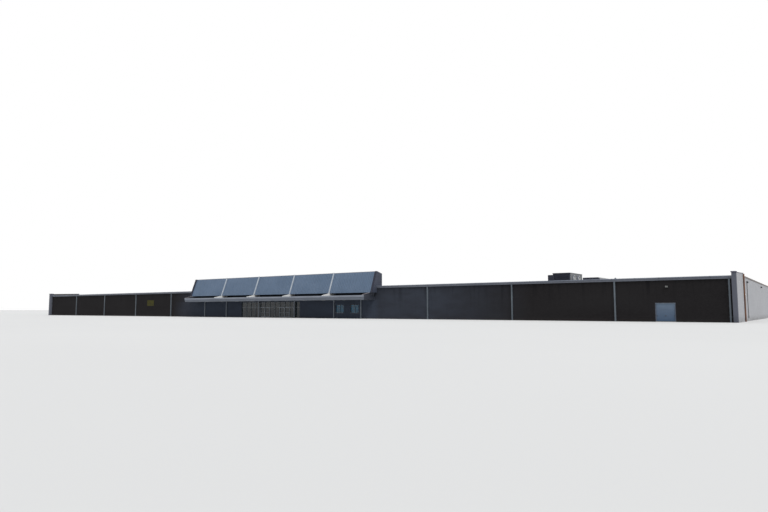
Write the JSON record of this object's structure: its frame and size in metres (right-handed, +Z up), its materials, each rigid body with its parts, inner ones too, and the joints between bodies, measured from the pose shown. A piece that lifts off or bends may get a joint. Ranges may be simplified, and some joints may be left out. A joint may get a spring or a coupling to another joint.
{
  "type": "discount department store building, 1:10 scale model",
  "caption": "Long low store with a dark brick front, a metal mansard and flat canopy over the entrance, painted block sides and rooftop units; 1:10 scale model.",
  "frame": {"origin": "on the ground under the middle of the building's footprint, canopy and rear downpipes included", "axes": "+X to the right along the front, +Y from the front to the back, +Z up"},
  "size_m": [18.082, 6.494, 0.868],
  "materials": {
    "brick": "dark brown brick, matt",
    "block": "white painted concrete block",
    "concrete": "bare concrete",
    "light_metal": "light grey painted sheet metal, satin",
    "white_metal": "white painted steel, satin",
    "panel_metal": "blue-grey painted sheet metal panels, satin",
    "dark_metal": "dark bronze sheet metal",
    "brown_cladding": "dark brown shingle boards",
    "rust_pipe": "brown weathered steel pipe",
    "roof_membrane": "gravelled grey roof membrane",
    "soffit_metal": "grey sheet soffit",
    "frame_aluminium": "anodised aluminium",
    "glass": "dark glass",
    "roller_metal": "light blue-grey slatted steel",
    "door_paint": "grey painted steel door",
    "light_body": "grey cast light body",
    "unit_metal": "weathered galvanised steel casing"
  },
  "bodies": {
    "root": {"floor_slab": "concrete", "door_thresholds": "concrete", "front_wall": "brick", "front_wall_infill": "brick", "side_walls": "block", "rear_wall": "block", "rear_wall_infill": "block", "end_pilasters": "block", "end_return_walls": "block", "pilaster_caps": "dark_metal", "return_flashings": "dark_metal", "roof_deck": "roof_membrane", "front_fascia": "light_metal", "fascia_caps": "light_metal", "side_copings": "dark_metal", "rear_coping": "dark_metal", "front_downpipes": "light_metal", "service_downpipes": "rust_pipe", "mansard_panels": "panel_metal", "mansard_ribs": "white_metal", "mansard_gussets": "white_metal", "mansard_end_walls": "brown_cladding", "mansard_soffit": "dark_metal", "mansard_top_sheet": "panel_metal", "mansard_back_wall": "panel_metal", "mansard_peak_cap": "light_metal", "canopy_fascia": "light_metal", "canopy_end_fascias": "brown_cladding", "canopy_deck": "roof_membrane", "canopy_soffit": "soffit_metal", "canopy_end_plates": "brown_cladding", "canopy_columns": "white_metal", "glazing_frames": "frame_aluminium", "glazing_glass": "glass", "entrance_doors": "frame_aluminium", "roller_curtains": "roller_metal", "roller_guides": "white_metal", "exit_doors": "door_paint", "wall_lights": "light_body", "roof_curbs": "unit_metal", "roof_units": "unit_metal", "roof_unit_intake": "dark_metal", "roof_unit_fans": "light_metal", "roof_vent": "light_metal"}
  },
  "joints": []
}
